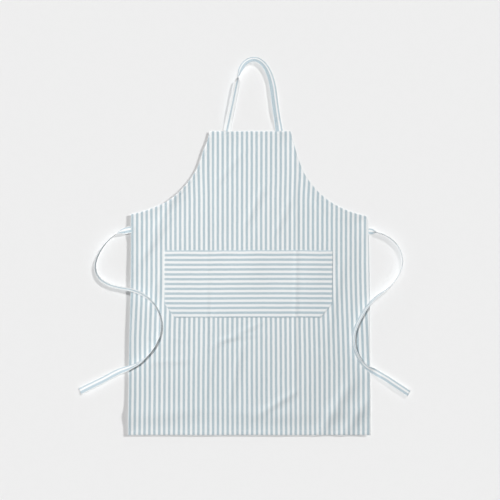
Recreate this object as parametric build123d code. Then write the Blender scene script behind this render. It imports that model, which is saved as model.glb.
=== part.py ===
"""Bib apron in ticking stripe, lying flat with its front up.

Frame: millimetres, +Z up. Origin at the middle of the main panel's box, on the surface it lies on.
+Y runs from the bottom hem to the neck loop, +X to the right when looking at the front.

Cloth is thinner than any solid here: each cloth piece is a plain closed solid of the right outline and place.
"""
from build123d import *
import math
import os

os.makedirs("parts", exist_ok=True)

# ---------------------------------------------------------------- driving dimensions
PANEL_W = 700.0          # width at the bottom hem
PANEL_L = 885.0          # bottom hem to bib top
PANEL_T = 2.0            # thickness of the stand-in solid of the panel
BIB_W = 234.0            # width of the bib's top edge
FOLD_Y = 181.0           # waist fold line, just above the tie roots
FOLD_GAP = 0.3           # gap between the bib and skirt solids at the fold
HINGE_Z = 2.3            # height of both fold axes, just above the cloth

HEM_TOP = 12.0           # bib top hem, stitch row to edge
HEM_SIDE = 9.0           # side and armhole hems
HEM_BOTTOM = 14.0        # bottom hem

STRAP_W = 22.0           # neck strap tape, flat width
TIE_W = 20.0             # waist tie tape, flat width
TAPE_T = 2.0             # folded tape, four layers of cloth
SEWN = 24.0              # length of tape sewn behind the hem
SEWN_T = 1.0             # thickness of that sewn length's solid

POCKET_TOP = 95.8        # pocket mouth
POCKET_FLANGE_T = 1.2    # sewn rim of the pocket
POCKET_HOLLOW = 4.4      # clear height inside the pocket
POCKET_SKIN = 1.2
POCKET_RIM = 9.0         # width of the sewn rim

THREAD_W = 0.7           # stitch rows: a thin strip on the cloth
THREAD_H = 0.3

HALF_W, HALF_L = PANEL_W / 2, PANEL_L / 2

# panel outline, right and left edges from the bib's top corner down
ARM_LEFT = [(-118.0, HALF_L), (-124.0, 418.0), (-138.5, 381.6), (-151.0, 344.0), (-167.1, 314.6), (-187.8, 287.0),
            (-208.8, 264.0), (-230.5, 246.2), (-255.5, 231.8), (-277.5, 221.8), (-302.5, 212.6), (-328.4, 205.0), (-347.0, 200.5)]
ARM_RIGHT = [(116.0, HALF_L), (125.0, 411.0), (134.7, 376.4), (146.2, 343.6), (157.5, 318.0), (175.5, 291.5),
             (196.6, 267.5), (213.0, 252.0), (230.3, 238.9), (253.2, 225.2), (276.8, 214.0), (305.4, 203.5), (330.0, 197.4)]
SIDE_LEFT = [(-347.0, 200.5), (-344.6, 170.0), (-344.2, 126.0), (-346.0, -40.0), (-348.0, -240.0), (-HALF_W, -HALF_L)]
SIDE_RIGHT = [(330.0, 197.4), (338.5, 192.5), (341.5, 183.0), (343.3, 155.0), (344.5, 120.0), (347.0, -60.0), (348.6, -240.0), (HALF_W, -HALF_L)]

# pocket outline, clockwise from the mouth's left corner
POCKET = [(-250.3, POCKET_TOP), (238.9, POCKET_TOP), (237.9, -59.5), (204.2, -99.9), (-219.3, -99.9), (-250.3, -61.2)]

# routes of the tapes' centrelines in plan; heights are given with each solid below
TIE_LEFT = [(-345.6, 156.0), (-372.5, 151.5), (-398.5, 138.5), (-422.5, 115.5), (-442.0, 85.0), (-453.5, 50.5), (-444.5, 17.5),
            (-417.0, -3.5), (-380.0, -13.8), (-341.0, -19.0), (-304.0, -36.0), (-276.0, -63.0), (-260.0, -98.0), (-258.5, -136.0),
            (-271.0, -174.5), (-293.5, -209.5), (-321.5, -240.0), (-357.0, -258.5), (-394.0, -272.0), (-428.0, -288.0),
            (-461.0, -303.5), (-493.0, -316.0)]
TIE_RIGHT = [(343.6, 151.0), (372.0, 148.5), (400.5, 135.5), (425.0, 115.0), (440.0, 87.0), (443.5, 53.5), (430.0, 20.0),
             (405.0, -11.5), (374.0, -33.0), (345.0, -58.0), (322.5, -91.0), (304.0, -127.0), (296.0, -166.0), (307.0, -207.0),
             (329.5, -242.5), (362.0, -264.5), (396.0, -284.5), (428.5, -306.5), (460.0, -325.5)]
STRAP = [(-77.0, HALF_L), (-69.0, 478.0), (-59.0, 518.0), (-49.5, 557.5), (-39.0, 597.0), (-23.5, 638.0), (1.0, 663.0),
         (29.5, 656.0), (50.5, 623.0), (60.5, 583.0), (65.5, 542.0), (71.5, 500.0), (79.5, 460.0), (82.0, HALF_L)]

TAPE_Z = TIE_W           # top of a tape that stands on its edge
STEP_Z = 2.8             # underside of a tie where it crosses the panel
TIE_SWING_GAP = 0.6      # between the panel's edge and the round root end of a tie


# ---------------------------------------------------------------- helpers
def save(shape, name):
    shape.label = name
    export_step(shape, "parts/" + name + ".step")


def plate(points, z0, z1):
    """A flat solid with this outline between two heights."""
    face = make_face(Polyline(*points, close=True))
    return Pos(0, 0, z0) * extrude(face, z1 - z0)


def beside(points, d):
    """The open polyline moved to its left by d, with mitred corners."""
    out = []
    for i, p in enumerate(points):
        a = points[max(i - 1, 0)]
        b = points[min(i + 1, len(points) - 1)]
        n1 = n2 = None
        if i > 0:
            l = math.dist(a, p)
            n1 = (-(p[1] - a[1]) / l, (p[0] - a[0]) / l)
        if i < len(points) - 1:
            l = math.dist(p, b)
            n2 = (-(b[1] - p[1]) / l, (b[0] - p[0]) / l)
        n1, n2 = n1 or n2, n2 or n1
        m = (n1[0] + n2[0], n1[1] + n2[1])
        k = 2 / (m[0] ** 2 + m[1] ** 2)
        out.append((p[0] + d * k * m[0], p[1] + d * k * m[1]))
    return out


def strip(points, width, z0, z1):
    """A flat strip of this width along an open polyline."""
    return plate(beside(points, width / 2) + beside(points, -width / 2)[::-1], z0, z1)


def seam(points):
    """A stitch row on the panel's face."""
    return strip(points, THREAD_W, PANEL_T, PANEL_T + THREAD_H)


def sampled(curve, n):
    return [(v.X, v.Y) for v in (curve @ (i / n) for i in range(n + 1))]


def radii(points):
    """Each corner's largest arc: 0.45 of the shorter run over the tangent of half the turn."""
    out = []
    for a, p, b in zip(points, points[1:], points[2:]):
        run = min(math.dist(a, p), math.dist(p, b))
        turn = abs(math.atan2((p[0] - a[0]) * (b[1] - p[1]) - (p[1] - a[1]) * (b[0] - p[0]),
                              (p[0] - a[0]) * (b[0] - p[0]) + (p[1] - a[1]) * (b[1] - p[1])))
        out.append(0.45 * run / math.tan(turn / 2))
    return out


def path_of(points, name):
    r = radii(points)
    line = FilletPolyline(*points, radius=r)
    print(name, "length", round(line.length, 1), "radii", [round(x) for x in r])
    return line


def wall(points, z0, z1, name, thick=TAPE_T):
    """A tape standing on its edge along straight runs and tangent arcs."""
    line = path_of(points, name)
    t = line % 0
    start = line @ 0
    section = Plane(origin=(start.X, start.Y, (z0 + z1) / 2), x_dir=(-t.Y, t.X, 0), z_dir=(t.X, t.Y, 0)) * Rectangle(thick, z1 - z0)
    solid = sweep(section, path=Pos(0, 0, (z0 + z1) / 2) * line)
    print("   volume over section times length", round(solid.volume / (thick * (z1 - z0) * line.length), 4))
    return solid


# ---------------------------------------------------------------- main panel, in two leaves that fold at the waist
left_arm, right_arm = Spline(*ARM_LEFT), Spline(*ARM_RIGHT)
left_side, right_side = Spline(*SIDE_LEFT), Spline(*SIDE_RIGHT)
top = Line(ARM_LEFT[0], ARM_RIGHT[0])
bottom = Line(SIDE_LEFT[-1], SIDE_RIGHT[-1])
outline = make_face([top, right_arm, right_side, bottom, left_side, left_arm])
panel = extrude(outline, PANEL_T)
if (panel.bounding_box().min.Z) < -0.01:
    panel = Pos(0, 0, PANEL_T) * panel
upper = Pos(0, FOLD_Y + FOLD_GAP / 2 + 300, 0) * Box(900, 600, 20)
lower = Pos(0, FOLD_Y - FOLD_GAP / 2 - 400, 0) * Box(900, 800, 20)

# lengths of tape sewn behind the hems, each let into the back of the panel
strap_angle_l = math.atan2(STRAP[1][1] - STRAP[0][1], STRAP[1][0] - STRAP[0][0])
strap_angle_r = math.atan2(STRAP[-2][1] - STRAP[-1][1], STRAP[-2][0] - STRAP[-1][0])


def sewn_end(x, y, across_x, along_y):
    return Pos(x, y, SEWN_T / 2) * Box(across_x, along_y, SEWN_T)


strap_end_left = sewn_end(STRAP[0][0] - 2.5, HALF_L - SEWN / 2 - 0.4, STRAP_W, SEWN)
strap_end_right = sewn_end(STRAP[-1][0] + 1.0, HALF_L - SEWN / 2 - 0.4, STRAP_W, SEWN)
tie_end_left = sewn_end(TIE_LEFT[0][0] + 1.6 + SEWN / 2, TIE_LEFT[0][1] - 0.5, SEWN, TIE_W)
tie_end_right = sewn_end(TIE_RIGHT[0][0] - 1.2 - SEWN / 2, TIE_RIGHT[0][1] - 0.5, SEWN, TIE_W)

bib_panel = (panel & upper) - strap_end_left - strap_end_right
skirt_panel = (panel & lower) - tie_end_left - tie_end_right

# ---------------------------------------------------------------- patch pocket, open at its top
rim = plate(POCKET, PANEL_T, PANEL_T + POCKET_FLANGE_T)


def pocket_inset(d, over):
    """The pocket outline drawn in by d at the sides and bottom, and run past the mouth by over."""
    l, r, b = POCKET[0][0] + d, POCKET[1][0] - d - 0.4, POCKET[3][1] + d
    return [(l, POCKET_TOP + over), (r, POCKET_TOP + over), (r, POCKET[2][1] + d * 0.41), (POCKET[3][0] - d * 0.45, b),
            (POCKET[4][0] + d * 0.45, b), (l, POCKET[5][1] + d * 0.41)]


hollow_top = PANEL_T + POCKET_HOLLOW
pouch = plate(pocket_inset(POCKET_RIM, 0), PANEL_T, hollow_top + POCKET_SKIN)
hollow = plate(pocket_inset(POCKET_RIM + POCKET_SKIN, 5), PANEL_T - 1, hollow_top)
pocket_panel = (rim + pouch) - hollow

# ---------------------------------------------------------------- neck strap: two flat legs and an arch on its edge
gap_y = HALF_L + FOLD_GAP
leg_left = strip([(STRAP[0][0] - 0.2, gap_y)] + STRAP[1:5], STRAP_W, 0, TAPE_T)
leg_right = strip(STRAP[8:13] + [(STRAP[-1][0], gap_y)], STRAP_W, 0, TAPE_T)
level = Pos(0, gap_y - 50, 0) * Box(400, 100, 20)     # the legs end square, along the bib's edge
arch = wall([((STRAP[3][0] + STRAP[4][0]) / 2, (STRAP[3][1] + STRAP[4][1]) / 2)] + STRAP[4:9]
            + [((STRAP[8][0] + STRAP[9][0]) / 2, (STRAP[8][1] + STRAP[9][1]) / 2)], 0, TAPE_Z, "neck_strap arch")
neck_strap = (leg_left + leg_right) - level + arch
path_of(STRAP, "neck_strap whole route")

# ---------------------------------------------------------------- waist ties
over_panel = Pos(0, 0, STEP_Z - 10) * extrude(outline, 10)
if over_panel.bounding_box().max.Z > STEP_Z + 0.01 or over_panel.bounding_box().min.Z < STEP_Z - 10.01:
    over_panel = Pos(0, 0, STEP_Z - 10 - over_panel.bounding_box().min.Z + (STEP_Z - 10)) * extrude(outline, 10)


def edge_x(side, y):
    """The panel's side edge at this height on the sheet."""
    pts = sampled(side, 400)
    return min(pts, key=lambda p: abs(p[1] - y))[0]


def tie(route, side, sign, lie_down, name):
    """A tie: round flat root, tape on its edge over floor and panel until lie_down, flat free end."""
    swing = (edge_x(side, route[0][1]) + sign * (TIE_W / 2 + TIE_SWING_GAP + 0.6), route[0][1])
    root = Pos(swing[0], swing[1], TAPE_T / 2) * Cylinder(TIE_W / 2, TAPE_T)
    root += strip([swing, (route[1][0] + sign * 4, route[1][1] - 1)], TIE_W, 0, TAPE_T)
    stand = wall([(swing[0] + sign * 3, swing[1] - 0.4)] + [p for p in route[1:] if abs(p[0]) < abs(lie_down[0]) or p[1] > lie_down[1]]
                 + [lie_down], 0, TAPE_Z, name + " standing length")
    tail = strip(route[-6:], TIE_W, 0, TAPE_T)
    body = root + (stand + tail - over_panel)
    print(name, "swing axis", [round(v, 2) for v in swing])
    return body


tie_left = tie(TIE_LEFT, left_side, -1, (-378.0, -266.5), "tie_left")
tie_right = tie(TIE_RIGHT, right_side, 1, (378.0, -274.0), "tie_right")
path_of(TIE_LEFT, "tie_left whole route")
path_of(TIE_RIGHT, "tie_right whole route")

# ---------------------------------------------------------------- sewing threads, one continuous row per node
fold_top, fold_low = FOLD_Y + 4, FOLD_Y - 4
top_row = seam([(ARM_LEFT[0][0] + 6, HALF_L - HEM_TOP), (ARM_RIGHT[0][0] - 6, HALF_L - HEM_TOP)])
arm_row_left = beside(sampled(left_arm, 36), HEM_SIDE)
arm_row_right = beside(sampled(right_arm, 36), -HEM_SIDE)
arm_row_left = [p for p in arm_row_left if p[1] < HALF_L - HEM_TOP - 2 and p[1] > fold_top]
arm_row_right = [p for p in arm_row_right if p[1] < HALF_L - HEM_TOP - 2 and p[1] > fold_top]
side_row_left = [p for p in beside(sampled(left_side, 36), HEM_SIDE) if fold_low > p[1] > -HALF_L + 3]
side_row_right = [p for p in beside(sampled(right_side, 36), -HEM_SIDE) if fold_low > p[1] > -HALF_L + 3]
bottom_y = -HALF_L + HEM_BOTTOM
bottom_row = seam([(-HALF_W + HEM_SIDE + 3, bottom_y), (HALF_W - HEM_SIDE - 3, bottom_y)])


def box_stitch(x, y, w, l):
    """A sewn rectangle with a cross in it, as where a tape is sewn to a hem."""
    z0, z1 = PANEL_T, PANEL_T + THREAD_H
    ring = plate([(x - w / 2, y - l / 2), (x + w / 2, y - l / 2), (x + w / 2, y + l / 2), (x - w / 2, y + l / 2)], z0, z1)
    w2, l2 = w - 2 * THREAD_W, l - 2 * THREAD_W
    ring -= plate([(x - w2 / 2, y - l2 / 2), (x + w2 / 2, y - l2 / 2), (x + w2 / 2, y + l2 / 2), (x - w2 / 2, y + l2 / 2)], z0 - 1, z1 + 1)
    return ring


thread_strap_left = box_stitch(STRAP[0][0] - 2.5, HALF_L - 6.0, STRAP_W - 5, 7.5)
thread_strap_right = box_stitch(STRAP[-1][0] + 1.0, HALF_L - 6.0, STRAP_W - 5, 7.5)
thread_tie_root_left = box_stitch(TIE_LEFT[0][0] + 6.5, TIE_LEFT[0][1] - 0.5, 3.2, TIE_W - 5)
thread_tie_root_right = box_stitch(TIE_RIGHT[0][0] - 6.5, TIE_RIGHT[0][1] - 0.5, 3.2, TIE_W - 5)

pocket_top_z = hollow_top + POCKET_SKIN
pocket_hem_row = strip([(POCKET[0][0] + 13, POCKET_TOP - 9.5), (POCKET[1][0] - 13, POCKET_TOP - 9.5)], THREAD_W, pocket_top_z, pocket_top_z + THREAD_H)
rim_z = PANEL_T + POCKET_FLANGE_T
edge_path = beside([POCKET[1], POCKET[2], POCKET[3], POCKET[4], POCKET[5], POCKET[0]], -4.0)
pocket_edge_row = strip(edge_path, THREAD_W, rim_z, rim_z + THREAD_H)


def tape_edge_row(points, tail):
    """The row of stitches that closes the tape's open edge: along the standing edge, and along a flat tail."""
    row = wall(points, TAPE_Z, TAPE_Z + THREAD_H, "edge row", thick=THREAD_W)
    return [row] + ([strip(beside(tail, TIE_W / 2 - 2.5), THREAD_W, TAPE_T, TAPE_T + THREAD_H)] if tail else [])


def mid(a, b, k=0.5):
    return (a[0] + (b[0] - a[0]) * k, a[1] + (b[1] - a[1]) * k)


strap_row = tape_edge_row([mid(STRAP[3], STRAP[4], 0.6)] + STRAP[4:9] + [mid(STRAP[8], STRAP[9], 0.4)], None)
tie_row_left = tape_edge_row([mid(TIE_LEFT[0], TIE_LEFT[1], 0.8)] + TIE_LEFT[1:-5] + [mid(TIE_LEFT[-6], TIE_LEFT[-5], 0.9)],
                             TIE_LEFT[-3:])
tie_row_right = tape_edge_row([mid(TIE_RIGHT[0], TIE_RIGHT[1], 0.8)] + TIE_RIGHT[1:-5] + [mid(TIE_RIGHT[-6], TIE_RIGHT[-5], 0.9)],
                              [(x, y) for x, y in TIE_RIGHT[-3:]])

# ---------------------------------------------------------------- files
parts = {
    "bib_panel": bib_panel,
    "skirt_panel": skirt_panel,
    "pocket_panel": pocket_panel,
    "neck_strap": neck_strap,
    "neck_strap_sewn_end_left": strap_end_left,
    "neck_strap_sewn_end_right": strap_end_right,
    "waist_tie_left": tie_left,
    "waist_tie_right": tie_right,
    "waist_tie_sewn_end_left": tie_end_left,
    "waist_tie_sewn_end_right": tie_end_right,
    "thread_bib_top_hem": top_row,
    "thread_armhole_hem_left": seam(arm_row_left),
    "thread_armhole_hem_right": seam(arm_row_right),
    "thread_side_hem_left": seam(side_row_left),
    "thread_side_hem_right": seam(side_row_right),
    "thread_bottom_hem": bottom_row,
    "thread_pocket_mouth_hem": pocket_hem_row,
    "thread_pocket_edge": pocket_edge_row,
    "thread_strap_root_left": thread_strap_left,
    "thread_strap_root_right": thread_strap_right,
    "thread_tie_root_left": thread_tie_root_left,
    "thread_tie_root_right": thread_tie_root_right,
    "thread_neck_strap_edge": Compound(children=strap_row) if len(strap_row) > 1 else strap_row[0],
    "thread_waist_tie_edge_left": Compound(children=tie_row_left),
    "thread_waist_tie_edge_right": Compound(children=tie_row_right),
}
for name, shape in parts.items():
    save(shape, name)
print(len(parts), "nodes")
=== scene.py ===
import math

import bpy
import numpy as np
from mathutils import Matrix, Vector
from mathutils.geometry import delaunay_2d_cdt


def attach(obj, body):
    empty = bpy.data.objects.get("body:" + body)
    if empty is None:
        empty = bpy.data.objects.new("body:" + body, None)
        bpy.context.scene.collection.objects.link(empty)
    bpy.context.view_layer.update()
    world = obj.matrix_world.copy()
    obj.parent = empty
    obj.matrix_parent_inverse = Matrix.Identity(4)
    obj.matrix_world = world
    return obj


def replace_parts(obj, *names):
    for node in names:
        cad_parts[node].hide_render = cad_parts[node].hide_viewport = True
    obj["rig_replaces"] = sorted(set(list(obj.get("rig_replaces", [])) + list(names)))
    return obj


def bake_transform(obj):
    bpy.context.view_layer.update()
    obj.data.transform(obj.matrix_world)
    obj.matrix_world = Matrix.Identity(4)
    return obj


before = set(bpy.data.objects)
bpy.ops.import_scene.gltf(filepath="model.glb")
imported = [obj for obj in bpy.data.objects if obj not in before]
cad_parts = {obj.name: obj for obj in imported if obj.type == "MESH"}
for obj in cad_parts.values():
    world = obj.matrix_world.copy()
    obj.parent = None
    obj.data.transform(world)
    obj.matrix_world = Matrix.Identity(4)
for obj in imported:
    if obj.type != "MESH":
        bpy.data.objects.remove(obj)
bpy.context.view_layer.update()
scene = bpy.context.scene
MM = 0.001

# =====================================================================================================
# camera: straight down on the apron as it lies, +Y up the picture
# =====================================================================================================
cam_data = bpy.data.cameras.new("camera")
cam_data.lens = 50.0
cam_data.sensor_width = 36.0
cam_data.clip_start = 0.05
cam = bpy.data.objects.new("camera", cam_data)
scene.collection.objects.link(cam)
cam.location = (-0.0015, 0.0967, 2.0255)
cam.rotation_euler = (0.0, 0.0, 0.0)
scene.camera = cam

# =====================================================================================================
# routes of the tapes (mm): the routes of part.py, with some points moved or added by a few millimetres; z is a first height
# =====================================================================================================
STRAP_W, TIE_W, TAPE_T = 22.0, 20.0, 1.5
HALF_L = 442.5

STRAP = [(-69.0, 442.5, 1.2), (-61.5, 478.0, 1.3), (-52.5, 518.0, 1.6), (-44.5, 557.5, 2.6), (-36.5, 597.0, 7.6), (-23.5, 635.5, 10.4),
         (2.0, 653.0, 10.6), (27.5, 648.5, 10.4), (50.0, 622.0, 8.6), (63.5, 583.0, 3.4), (68.5, 542.0, 1.8), (74.0, 500.0, 1.6),
         (81.0, 460.0, 1.3), (83.5, 442.5, 1.2)]
TIE_LEFT = [(-347.6, 156.0, 1.2), (-373.5, 151.5, 3.4), (-398.5, 138.5, 9.2), (-422.5, 115.5, 9.9), (-442.0, 85.0, 9.9), (-453.5, 50.5, 9.9),
            (-444.5, 17.5, 9.9), (-417.0, -3.5, 9.9), (-380.0, -13.8, 11.2), (-341.0, -19.0, 13.4), (-304.0, -36.0, 12.8), (-276.0, -63.0, 12.8),
            (-260.0, -98.0, 12.8), (-257.0, -135.0, 12.8), (-270.0, -173.5, 12.8), (-293.5, -206.5, 12.8), (-320.0, -231.0, 12.6),
            (-353.0, -246.0, 8.4), (-388.0, -258.5, 1.9), (-421.0, -277.5, 1.4), (-458.0, -295.0, 1.2), (-494.5, -313.5, 1.2)]
TIE_RIGHT = [(343.6, 151.0, 1.2), (372.0, 148.5, 3.6), (400.5, 135.5, 9.2), (425.0, 115.0, 9.9), (440.0, 87.0, 9.9), (443.5, 53.5, 9.9),
             (430.0, 20.0, 9.9), (405.0, -11.5, 9.9), (374.0, -33.0, 11.2), (345.0, -58.0, 13.4), (322.5, -91.0, 12.8), (304.0, -127.0, 12.8),
             (296.0, -166.0, 12.8), (306.0, -205.0, 12.8), (328.0, -238.5, 12.4), (358.5, -257.0, 7.0), (393.0, -276.0, 1.8),
             (426.5, -298.5, 1.4), (459.5, -320.0, 1.2)]


def centreline(name, points):
    """The middle line of a tape: one smooth NURBS line through the room that its route's points pull on."""
    cu = bpy.data.curves.new(name, "CURVE")
    cu.dimensions = "3D"
    cu.resolution_u = 14
    sp = cu.splines.new("NURBS")
    sp.points.add(len(points) - 1)
    for p, c in zip(sp.points, points):
        p.co = (c[0] * MM, c[1] * MM, c[2] * MM, 1.0)
    sp.order_u = 3
    sp.use_endpoint_u = True
    ob = bpy.data.objects.new(name, cu)
    scene.collection.objects.link(ob)
    bpy.context.view_layer.update()
    me = bpy.data.meshes.new_from_object(ob)
    co = np.array([v.co[:] for v in me.vertices], float) / MM
    bpy.data.objects.remove(ob)
    bpy.data.curves.remove(cu)
    bpy.data.meshes.remove(me)
    return co


# =====================================================================================================
# small helpers
# =====================================================================================================
def smooth(a, b, x):
    t = np.clip((np.asarray(x, float) - a) / (b - a), 0.0, 1.0)
    return t * t * (3.0 - 2.0 * t)


def arc(points):
    return np.concatenate([[0.0], np.cumsum(np.linalg.norm(np.diff(points, axis=0), axis=1))])


def make_mesh(name, verts, faces, cloth=None, material=None):
    """A smooth-shaded mesh object from millimetre points, with the cloth's own flat coordinates as a point attribute."""
    me = bpy.data.meshes.new(name)
    me.from_pydata((np.asarray(verts, float) * MM).tolist(), [], [tuple(int(i) for i in f) for f in faces])
    me.update()
    me.polygons.foreach_set("use_smooth", np.ones(len(me.polygons), bool))
    if cloth is not None:
        at = me.attributes.new("cloth", "FLOAT_VECTOR", "POINT")
        at.data.foreach_set("vector", (np.asarray(cloth, float) * [MM, MM, 1.0]).astype(np.float32).ravel())
    ob = bpy.data.objects.new(name, me)
    scene.collection.objects.link(ob)
    if material is not None:
        me.materials.append(material)
    return ob


def thicken(verts, faces, cloth, t):
    """Both faces and the cut rim of a sheet of thickness t around these points."""
    verts = np.asarray(verts, float)
    tri = []
    for f in faces:
        for k in range(1, len(f) - 1):
            tri.append((f[0], f[k], f[k + 1]))
    tri = np.array(tri)
    n = np.cross(verts[tri[:, 1]] - verts[tri[:, 0]], verts[tri[:, 2]] - verts[tri[:, 0]])
    vn = np.zeros_like(verts)
    for k in range(3):
        np.add.at(vn, tri[:, k], n)
    vn /= np.maximum(np.linalg.norm(vn, axis=1, keepdims=True), 1e-12)
    m = len(verts)
    out = np.vstack([verts + vn * t / 2, verts - vn * t / 2])
    fs = [tuple(f) for f in faces] + [tuple(i + m for i in reversed(f)) for f in faces]
    half = {}
    for f in faces:
        for a, b in zip(f, list(f[1:]) + [f[0]]):
            half[(a, b)] = True
    for (a, b) in list(half):
        if (b, a) not in half:
            fs.append((b, a, a + m, b + m))
    return out, fs, np.vstack([cloth, cloth])


# =====================================================================================================
# outline of the apron as it lies (mm)
# =====================================================================================================
ARM_LEFT = [(-118.0, 442.5), (-124.0, 418.0), (-138.5, 381.6), (-151.0, 344.0), (-167.1, 314.6), (-187.8, 287.0), (-208.8, 264.0),
            (-230.5, 246.2), (-255.5, 231.8), (-277.5, 221.8), (-302.5, 212.6), (-328.4, 205.0), (-348.0, 200.5)]
ARM_RIGHT = [(116.0, 442.5), (125.0, 411.0), (134.7, 376.4), (146.2, 343.6), (157.5, 318.0), (175.5, 291.5), (196.6, 267.5),
             (213.0, 252.0), (230.3, 238.9), (253.2, 225.2), (276.8, 214.0), (305.4, 203.5), (330.0, 197.4)]
SIDE_LEFT = [(-348.0, 200.5), (-347.4, 170.0), (-347.6, 126.0), (-349.0, -20.0), (-353.0, -190.0), (-355.5, -340.0), (-356.5, -442.5)]
SIDE_RIGHT = [(330.0, 197.4), (338.5, 192.5), (341.5, 183.0), (343.3, 155.0), (344.5, 120.0), (347.0, -60.0), (348.6, -240.0), (350, -442.5)]
POCKET = [(-250.3, 95.8), (238.9, 95.8), (237.9, -59.5), (204.2, -99.9), (-219.3, -99.9), (-250.3, -61.2)]


def curve_through(points, step):
    """A smooth line through the points, with a point about every step."""
    p = np.array(points, float)
    ext = np.vstack([2 * p[0] - p[1], p, 2 * p[-1] - p[-2]])
    fine = []
    for i in range(len(p) - 1):
        a, b, c, d = ext[i:i + 4]
        ta, tb, tc, td = np.concatenate([[0], np.cumsum(np.sqrt(np.maximum(np.linalg.norm(np.diff(ext[i:i + 4], axis=0), axis=1), 1e-6)))])
        t = np.linspace(tb, tc, 24, endpoint=False)[:, None]
        a1 = (tb - t) / (tb - ta) * a + (t - ta) / (tb - ta) * b
        a2 = (tc - t) / (tc - tb) * b + (t - tb) / (tc - tb) * c
        a3 = (td - t) / (td - tc) * c + (t - tc) / (td - tc) * d
        b1 = (tc - t) / (tc - ta) * a1 + (t - ta) / (tc - ta) * a2
        b2 = (td - t) / (td - tb) * a2 + (t - tb) / (td - tb) * a3
        fine.append((tc - t) / (tc - tb) * b1 + (t - tb) / (tc - tb) * b2)
    fine = np.vstack(fine + [p[-1:]])
    s = arc(fine)
    n = max(2, int(round(s[-1] / step)))
    q = np.linspace(0, s[-1], n + 1)
    return np.stack([np.interp(q, s, fine[:, 0]), np.interp(q, s, fine[:, 1])], 1)


def ring_of(sides, widths):
    """The outline as one closed ring, with the matching ring of the hems' stitch lines. Sides run clockwise, seen from above."""
    tangents = []
    for s in sides:
        t = np.gradient(s, axis=0)
        tangents.append(t / np.linalg.norm(t, axis=1, keepdims=True))
    outer, inner, side_no = [], [], []
    for k, s in enumerate(sides):
        t, w = tangents[k], widths[k]
        n = np.stack([t[:, 1], -t[:, 0]], 1)
        before, after = (k - 1) % len(sides), (k + 1) % len(sides)
        h = s + n * w
        length = arc(s)
        reach = min(60.0, length[-1] * 0.45)
        for end, other, near in ((0, tangents[before][-1], 1 - smooth(0, reach, length)), (-1, tangents[after][0], smooth(length[-1] - reach, length[-1], length))):
            wo = widths[before] if end == 0 else widths[after]
            no = np.array([other[1], -other[0]])
            cross = float(t[end] @ no)
            shift = 0.0 if abs(cross) < 0.05 else (wo - w * float(n[end] @ no)) / cross
            h = h + t * (shift * near)[:, None]
        outer.append(s[:-1])
        inner.append(h[:-1])
        side_no.append(np.full(len(s) - 1, k))
    return np.vstack(outer), np.vstack(inner), np.concatenate(side_no)


top_side = curve_through([(-118.0, 442.5), (-60.0, 442.1), (0.0, 442.5), (60.0, 442.2), (116.0, 442.5)], 4.0)
bottom_side = curve_through([(350.0, -442.5), (240.0, -442.0), (120.0, -442.6), (0.0, -442.1), (-130.0, -442.6), (-250.0, -442.0), (-356.5, -442.5)], 4.0)
PANEL_SIDES = [top_side, curve_through(ARM_RIGHT, 4.0), curve_through(SIDE_RIGHT, 4.0), bottom_side,
               curve_through(SIDE_LEFT[::-1], 4.0), curve_through(ARM_LEFT[::-1], 4.0)]
panel_outer, panel_hem, panel_side = ring_of(PANEL_SIDES, [12.0, 9.0, 9.0, 14.0, 9.0, 9.0])


def edge_distance(x, y, ring=panel_outer):
    """How far a point lies from the outline."""
    a, b = ring, np.roll(ring, -1, axis=0)
    d = b - a
    l2 = np.maximum((d * d).sum(1), 1e-9)
    x, y = np.ravel(x), np.ravel(y)
    out = np.empty(len(x))
    for i in range(0, len(x), 4000):
        px, py = x[i:i + 4000, None], y[i:i + 4000, None]
        t = np.clip(((px - a[:, 0]) * d[:, 0] + (py - a[:, 1]) * d[:, 1]) / l2, 0, 1)
        out[i:i + 4000] = np.sqrt(((px - a[:, 0] - t * d[:, 0]) ** 2 + (py - a[:, 1] - t * d[:, 1]) ** 2).min(1))
    return out


def inside(x, y, ring):
    x, y = np.ravel(x), np.ravel(y)
    a, b = ring, np.roll(ring, -1, axis=0)
    odd = np.zeros(len(x), bool)
    for (ax, ay), (bx, by) in zip(a, b):
        if ay == by:
            continue
        hit = ((ay > y) != (by > y)) & (x < (bx - ax) * (y - ay) / (by - ay) + ax)
        odd ^= hit
    return odd


# =====================================================================================================
# relief of the cloth: packing creases, soft folds, lifted edges (mm, height of the cloth's middle)
# =====================================================================================================
def fold(x, y, p0, p1, height, width):
    """A soft fold along the line from p0 to p1, fading at both ends."""
    p0, p1 = np.array(p0, float), np.array(p1, float)
    length = np.linalg.norm(p1 - p0)
    ux, uy = (p1 - p0) / length
    t = (x - p0[0]) * ux + (y - p0[1]) * uy
    n = -(x - p0[0]) * uy + (y - p0[1]) * ux
    along = smooth(-0.3 * length, 0.25 * length, t) * (1 - smooth(0.75 * length, 1.3 * length, t))
    return height * along * (np.exp(-(n / width) ** 2) - 0.45 * np.exp(-((n - 2.1 * width) / (1.3 * width)) ** 2))


def crease_left(y):
    return -115.0 + 26.0 * (1 - smooth(-150, 110, y)) + 1.5 * np.sin(y / 61.0)


def crease_right(y):
    return 129.0 + 3.0 * np.sin(y / 97.0 + 0.7)


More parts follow.
